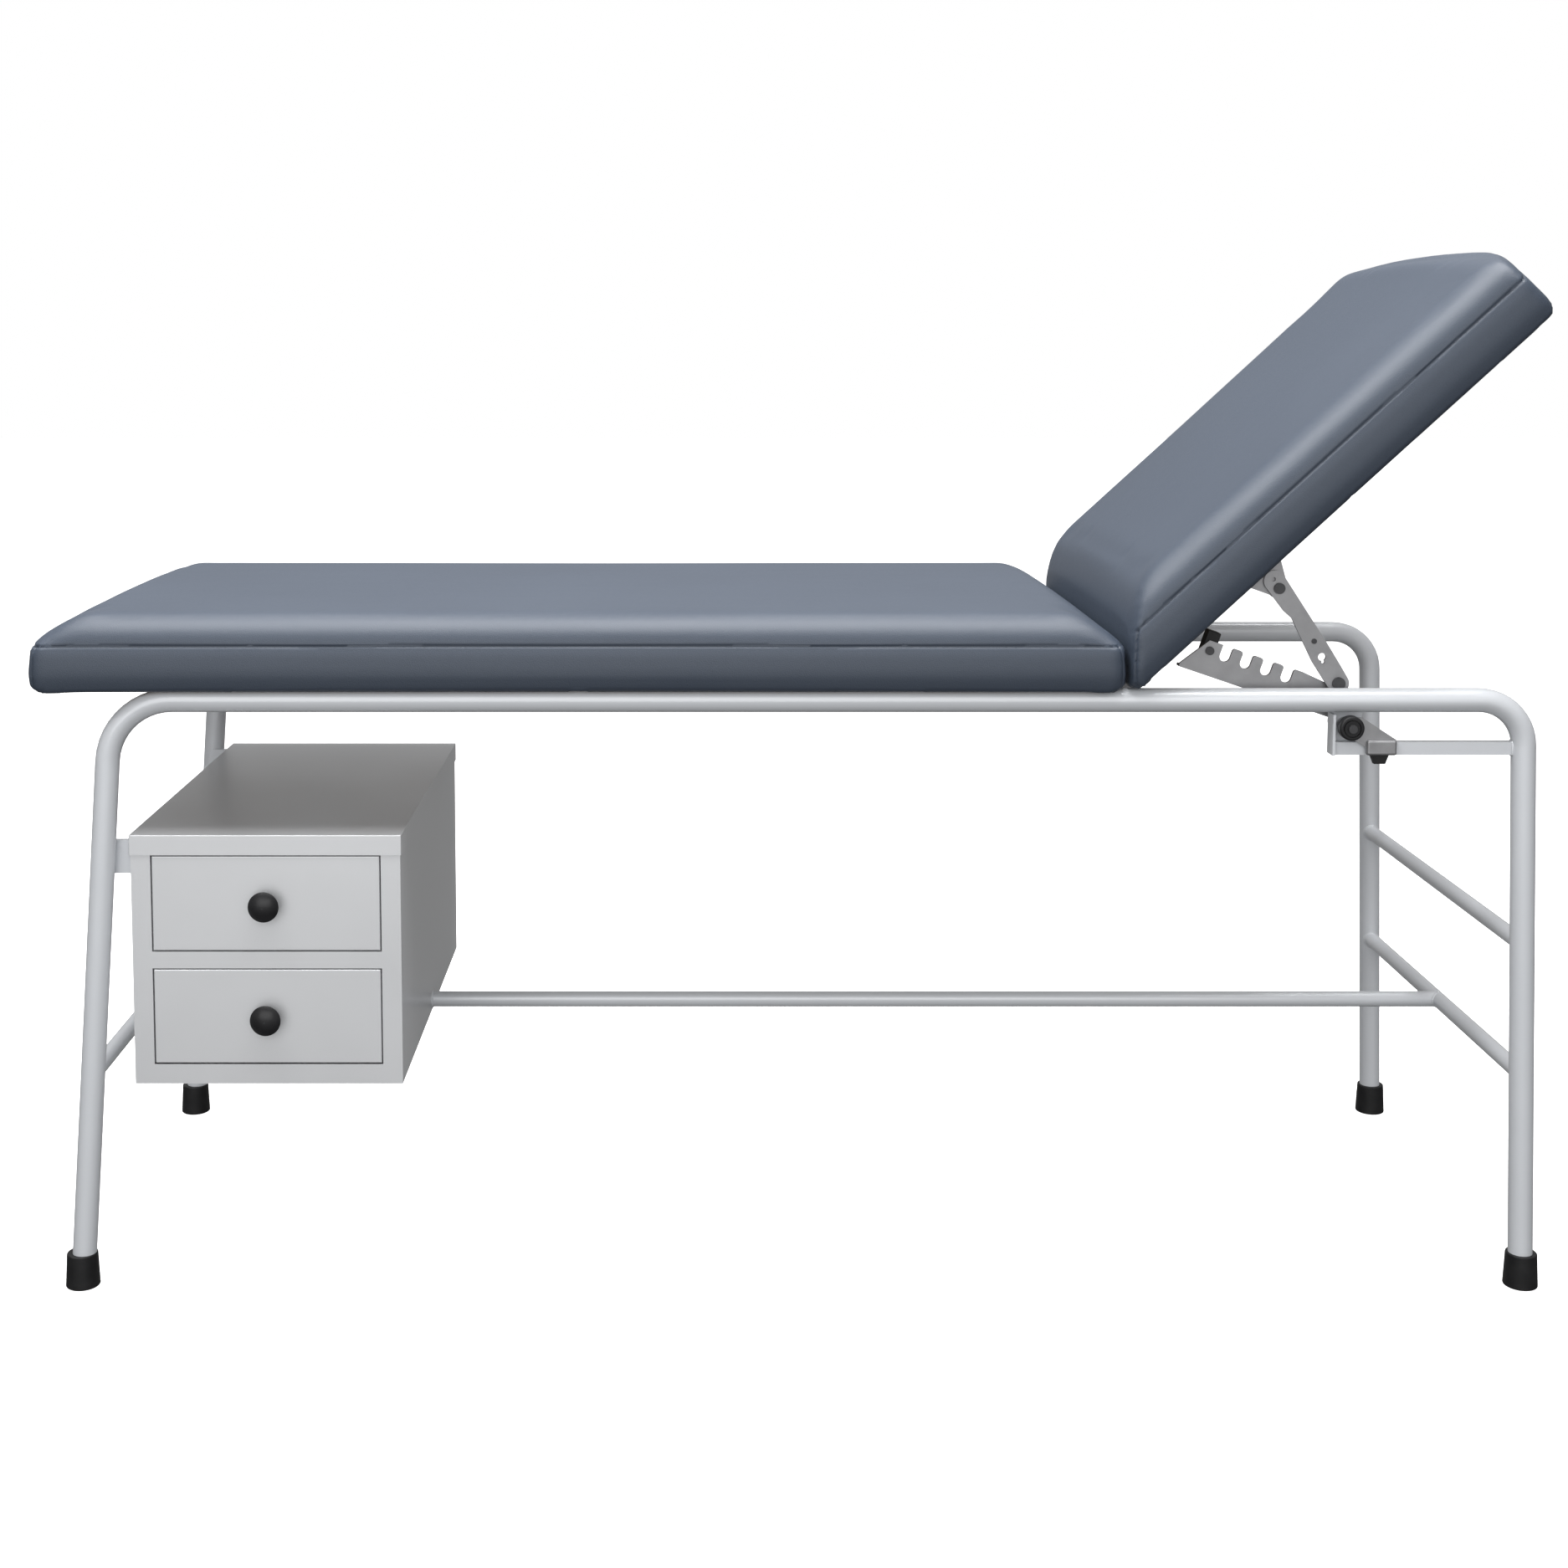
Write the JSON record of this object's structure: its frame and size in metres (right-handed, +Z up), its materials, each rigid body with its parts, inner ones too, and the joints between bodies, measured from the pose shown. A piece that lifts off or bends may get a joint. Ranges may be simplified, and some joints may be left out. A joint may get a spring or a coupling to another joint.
{
  "type": "examination table",
  "caption": "Medical examination table with a padded seat, a raised padded backrest held by a ratchet stay, a bent-tube frame on rubber ferrules and a drawer cabinet below.",
  "frame": {"origin": "middle of the footprint on the floor", "axes": "+X from the foot end to the head end, +Y from the drawer side to the back, +Z up"},
  "size_m": [1.7669, 0.6198, 1.2255],
  "materials": {
    "frame_paint": "gloss",
    "cabinet_paint": "satin",
    "leatherette": "satin",
    "board": "matte",
    "rubber": "matte",
    "bare_steel": "satin",
    "black_plastic": "satin"
  },
  "bodies": {
    "frame": {"cabinet_back_panel": "cabinet_paint", "cabinet_bottom_pan": "cabinet_paint", "cabinet_bracket_far": "frame_paint", "cabinet_bracket_near": "frame_paint", "cabinet_left_side": "cabinet_paint", "cabinet_lid": "cabinet_paint", "cabinet_middle_rail": "cabinet_paint", "cabinet_right_side": "cabinet_paint", "cabinet_runners": "cabinet_paint", "cabinet_stiles": "cabinet_paint", "foot_cross_tube": "frame_paint", "foot_end_ferrule_far": "rubber", "foot_end_ferrule_near": "rubber", "foot_lower_rung": "frame_paint", "head_end_ferrule_far": "rubber", "head_end_ferrule_near": "rubber", "head_lower_rung": "frame_paint", "head_upper_rung": "frame_paint", "hinge_cross_tube": "frame_paint", "hinge_lug_far": "frame_paint", "hinge_lug_near": "frame_paint", "hinge_pins": "bare_steel", "latch_axle": "bare_steel", "latch_bar": "frame_paint", "latch_bush": "bare_steel", "latch_knob": "black_plastic", "latch_plate": "frame_paint", "seat_board": "board", "seat_pad": "leatherette", "seat_screws": "bare_steel", "seat_tabs": "frame_paint", "side_frame_far": "frame_paint", "side_frame_near": "frame_paint", "stretcher": "frame_paint", "stretcher_flange": "frame_paint"},
    "backrest": {"backrest_board": "board", "backrest_pad": "leatherette", "backrest_screws": "bare_steel", "hinge_leaf_far": "bare_steel", "hinge_leaf_near": "bare_steel", "stay_bracket": "bare_steel", "strut_bolt": "bare_steel"},
    "strut": {"support_strut": "bare_steel", "strut_rivet": "bare_steel", "catch_pin": "bare_steel"},
    "rack": {"ratchet_rack": "bare_steel", "rack_bolt": "bare_steel", "rack_buffer": "rubber"},
    "lever": {"release_lever": "bare_steel", "lever_tip": "rubber"},
    "upper_drawer": {"upper_drawer_front": "cabinet_paint", "upper_drawer_knob": "black_plastic", "upper_drawer_knob_screw": "bare_steel", "upper_drawer_strips": "bare_steel", "upper_drawer_tray": "cabinet_paint"},
    "lower_drawer": {"lower_drawer_front": "cabinet_paint", "lower_drawer_knob": "black_plastic", "lower_drawer_knob_screw": "bare_steel", "lower_drawer_strips": "bare_steel", "lower_drawer_tray": "cabinet_paint"}
  },
  "joints": [
    {"name": "backrest_hinge", "type": "hinge", "parent": "frame", "child": "backrest", "pos_m": [0.396, 0, 0.703], "axis": [0, -1, 0], "range_deg": [-43, 0]},
    {"name": "strut_pivot", "type": "hinge", "parent": "backrest", "child": "strut", "pos_m": [0.56208, -0.2603, 0.83135], "axis": [0, -1, 0], "range_deg": [0, 105.35]},
    {"name": "rack_pivot", "type": "hinge", "parent": "frame", "child": "rack", "pos_m": [0.6395, -0.25, 0.673], "axis": [0, -1, 0], "range_deg": [0, 25.8]},
    {"name": "lever_pivot", "type": "hinge", "parent": "frame", "child": "lever", "pos_m": [0.6395, -0.2868, 0.673], "axis": [0, -1, 0], "range_deg": [0, 25]},
    {"name": "upper_drawer_slide", "type": "slide", "parent": "frame", "child": "upper_drawer", "axis": [0, -1, 0], "range_m": [0, 0.4]},
    {"name": "lower_drawer_slide", "type": "slide", "parent": "frame", "child": "lower_drawer", "axis": [0, -1, 0], "range_m": [0, 0.4]}
  ],
  "couplings": [
    {"joint": "strut_pivot", "follows": "backrest_hinge", "ratio": -2.45},
    {"joint": "rack_pivot", "follows": "backrest_hinge", "ratio": -0.6}
  ]
}
